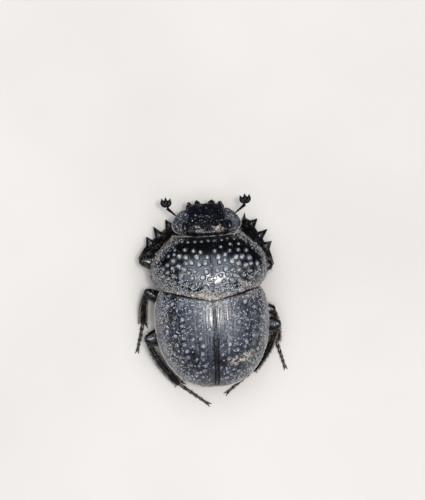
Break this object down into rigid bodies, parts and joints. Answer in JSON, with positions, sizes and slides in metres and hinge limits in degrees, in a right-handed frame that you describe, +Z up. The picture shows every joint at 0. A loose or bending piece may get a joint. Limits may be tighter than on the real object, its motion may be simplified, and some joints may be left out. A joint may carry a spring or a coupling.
{
  "type": "dung beetle",
  "caption": "Still, life-size model of a dark round-backed dung beetle standing on its legs, with a toothed digging head and fore legs.",
  "frame": {"origin": "on the floor under the middle of the beetle's bounding box, legs and feelers included", "axes": "+Y runs towards the head, +X to the beetle's right seen from above, +Z up"},
  "size_m": [0.0212, 0.0294, 0.0108],
  "materials": {
    "shell": "glossy blue-black with pale dusty pits",
    "wing_case": "satin blue-black, finely lined and pitted",
    "head_shell": "coarse black grain",
    "underside": "satin black-brown",
    "leg": "glossy black-brown",
    "feeler": "satin dark brown",
    "eye": "polished dark brown"
  },
  "bodies": {
    "root": {"abdomen": "underside", "antenna_club_left": "feeler", "antenna_club_right": "feeler", "antenna_left": "feeler", "antenna_right": "feeler", "elytron_left": "wing_case", "elytron_right": "wing_case", "eye_left": "eye", "eye_right": "eye", "fore_coxa_left": "leg", "fore_coxa_right": "leg", "fore_femur_left": "leg", "fore_femur_right": "leg", "fore_tibia_left": "leg", "fore_tibia_right": "leg", "head": "head_shell", "hind_coxa_left": "leg", "hind_coxa_right": "leg", "hind_femur_left": "leg", "hind_femur_right": "leg", "hind_tarsus_left": "leg", "hind_tarsus_right": "leg", "hind_tibia_left": "leg", "hind_tibia_right": "leg", "labium": "underside", "metasternum": "underside", "middle_coxa_left": "leg", "middle_coxa_right": "leg", "middle_femur_left": "leg", "middle_femur_right": "leg", "middle_tarsus_left": "leg", "middle_tarsus_right": "leg", "middle_tibia_left": "leg", "middle_tibia_right": "leg", "palp_left": "feeler", "palp_right": "feeler", "pronotum": "shell", "prosternum": "underside", "pygidium": "underside"}
  },
  "joints": []
}
